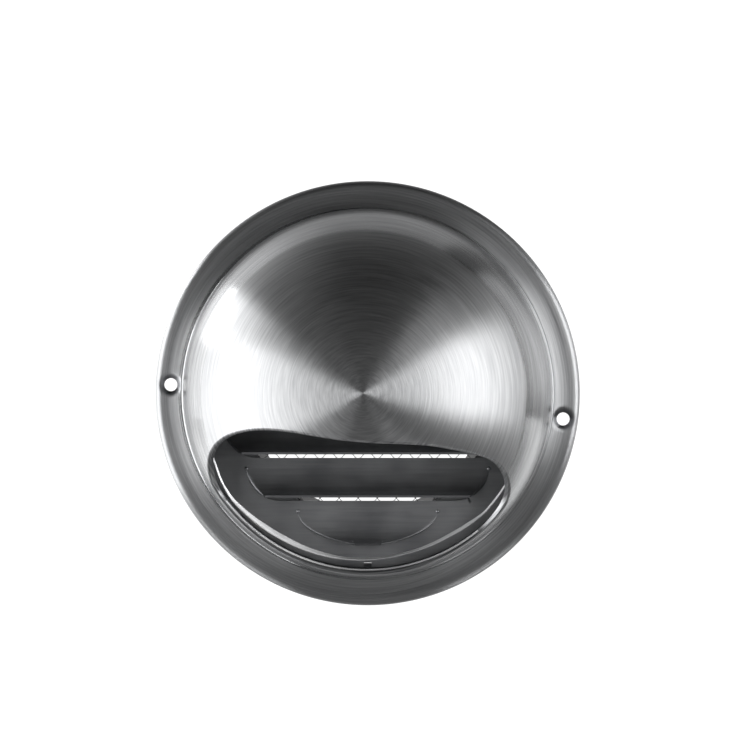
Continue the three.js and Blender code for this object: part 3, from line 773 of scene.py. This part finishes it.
# The bore's dark colour is painted shade.
bore_steel = satin_steel("bore_steel_painted_shade", "4A4A4B", "3A3A3B", 0.62)
tube_profile = [[BORE_R, TUBE_FRONT - TUBE_BEVEL], [BORE_R + TUBE_BEVEL, TUBE_FRONT],
                [TUBE_R - TUBE_BEVEL, TUBE_FRONT], [TUBE_R, TUBE_FRONT - TUBE_BEVEL]]
tube_profile += [[TUBE_R, out] for out in np.linspace(TUBE_FRONT - 2, TUBE_END + 1, 12)]
tube_profile += [[TUBE_R, TUBE_END + TUBE_DEBURR], [TUBE_R - TUBE_DEBURR, TUBE_END],
                 [BORE_R + TUBE_DEBURR, TUBE_END], [BORE_R, TUBE_END + TUBE_DEBURR]]
tube_profile += [[BORE_R, out] for out in np.linspace(TUBE_END + 1, TUBE_FRONT - 2, 12)]
tube = mesh_piece("duct_spigot", revolved(tube_profile, TUBE_SIDES),
                  ring_faces(len(tube_profile), TUBE_SIDES), [tube_steel, bore_steel])
for face in tube.data.polygons:
    if math.hypot(face.center.x, face.center.z) < (BORE_R + 0.1) * MM:
        face.material_index = 1
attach(tube, "root")
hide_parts("spigot_tube")

# ---------------------------------------------------------------------------------------------
# Duct collar: a flat ring of the tube's steel welded round its front end, the outer corners
# bevelled. It is tacked to the back of the plate.

collar_low, collar_high = (np.array(c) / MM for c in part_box("spigot_collar"))
front, back, outer, inner = -collar_low[1], -collar_high[1], collar_high[0], TUBE_R + 0.02
collar_profile = [[inner, back], [inner, front]]
collar_profile += [[r, front] for r in np.linspace(inner + 1, outer - 1, 6)]
collar_profile += [[outer - TUBE_BEVEL, front], [outer, front - TUBE_BEVEL],
                   [outer, back + TUBE_BEVEL], [outer - TUBE_BEVEL, back]]
collar_profile += [[r, back] for r in np.linspace(outer - 1, inner + 1, 6)]
collar = mesh_piece("duct_collar", revolved(collar_profile, TUBE_SIDES),
                    ring_faces(len(collar_profile), TUBE_SIDES), [tube_steel])
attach(collar, "root")
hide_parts("spigot_collar")

# ---------------------------------------------------------------------------------------------
# Tack welds: small puddles that hold the plate in the hood and the collar on the plate, four of
# each, all from one group of nodes.

weld_metal = satin_steel("weld_metal", "9C958C", "6B665F", 0.5)
TACK_SINK = 0.35


def tack_group():
    """Puddles spaced evenly on a circle, each a little uneven."""
    group = bpy.data.node_groups.new("tack_welds", "GeometryNodeTree")
    group.interface.new_socket(name="Geometry", in_out="OUTPUT", socket_type="NodeSocketGeometry")
    for name, value in (("Circle", 0.05), ("Size", 0.0015), ("Thick", 0.001), ("Middle", 0.004)):
        socket_in(group, name, "NodeSocketFloat", value)
    socket_in(group, "Count", "NodeSocketInt", 4)
    given = group.nodes.new("NodeGroupInput").outputs
    circle = add(group, "GeometryNodeMeshCircle", None, Vertices=given["Count"],
                 Radius=given["Circle"]).outputs[0]
    blob = add(group, "GeometryNodeMeshIcoSphere", None, Radius=1.0, Subdivisions=3).outputs[0]
    half = add(group, "ShaderNodeMath", {"operation": "MULTIPLY"}, i0=given["Thick"], i1=0.5).outputs[0]
    flat = add(group, "ShaderNodeCombineXYZ", None, X=given["Size"], Y=given["Size"], Z=half)
    drop = add(group, "GeometryNodeTransform", None, Geometry=blob, Scale=flat.outputs[0]).outputs[0]
    laid = add(group, "GeometryNodeInstanceOnPoints", None, Points=circle, Instance=drop).outputs[0]
    real = add(group, "GeometryNodeRealizeInstances", None, Geometry=laid).outputs[0]
    place = add(group, "GeometryNodeInputPosition").outputs[0]
    noise = add(group, "ShaderNodeTexNoise", None, Vector=place, Scale=900.0, Detail=1.0).outputs["Fac"]
    sink = add(group, "ShaderNodeMath", {"operation": "MULTIPLY"}, i0=noise, i1=-TACK_SINK * MM).outputs[0]
    normal = add(group, "GeometryNodeInputNormal").outputs[0]
    offset = add(group, "ShaderNodeVectorMath", {"operation": "SCALE"}, i0=normal, Scale=sink).outputs[0]
    uneven = add(group, "GeometryNodeSetPosition", None, Geometry=real, Offset=offset).outputs[0]
    slanted = add(group, "GeometryNodeTransform", None, Geometry=uneven, Rotation=(0, 0, math.pi / 4))
    back = add(group, "ShaderNodeMath", {"operation": "MULTIPLY"}, i0=given["Middle"], i1=-1.0).outputs[0]
    lower = add(group, "ShaderNodeCombineXYZ", None, Y=back).outputs[0]
    upright = add(group, "GeometryNodeTransform", None, Geometry=slanted.outputs[0],
                  Rotation=(math.pi / 2, 0, 0), Translation=lower).outputs[0]
    final = add(group, "GeometryNodeRealizeInstances", None, Geometry=upright).outputs[0]
    dressed = add(group, "GeometryNodeSetMaterial", None, Geometry=final, Material=weld_metal).outputs[0]
    out = group.nodes.new("NodeGroupOutput")
    group.links.new(dressed, out.inputs[0])
    return group


tacks = tack_group()
for kind in ("plate_tack", "collar_tack"):
    names = [f"{kind}_{i}" for i in range(1, 5)]
    lo, hi = (np.array(c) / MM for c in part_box(names[0]))
    middle = (lo + hi) / 2
    welds = grown(kind + "_welds", tacks, Circle=math.hypot(middle[0], middle[2]) * MM,
                  Size=(hi[0] - lo[0]) / 2 * MM, Thick=(hi[1] - lo[1]) * MM,
                  Middle=-middle[1] * MM, Count=4)
    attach(welds, "root")
    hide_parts(*names)
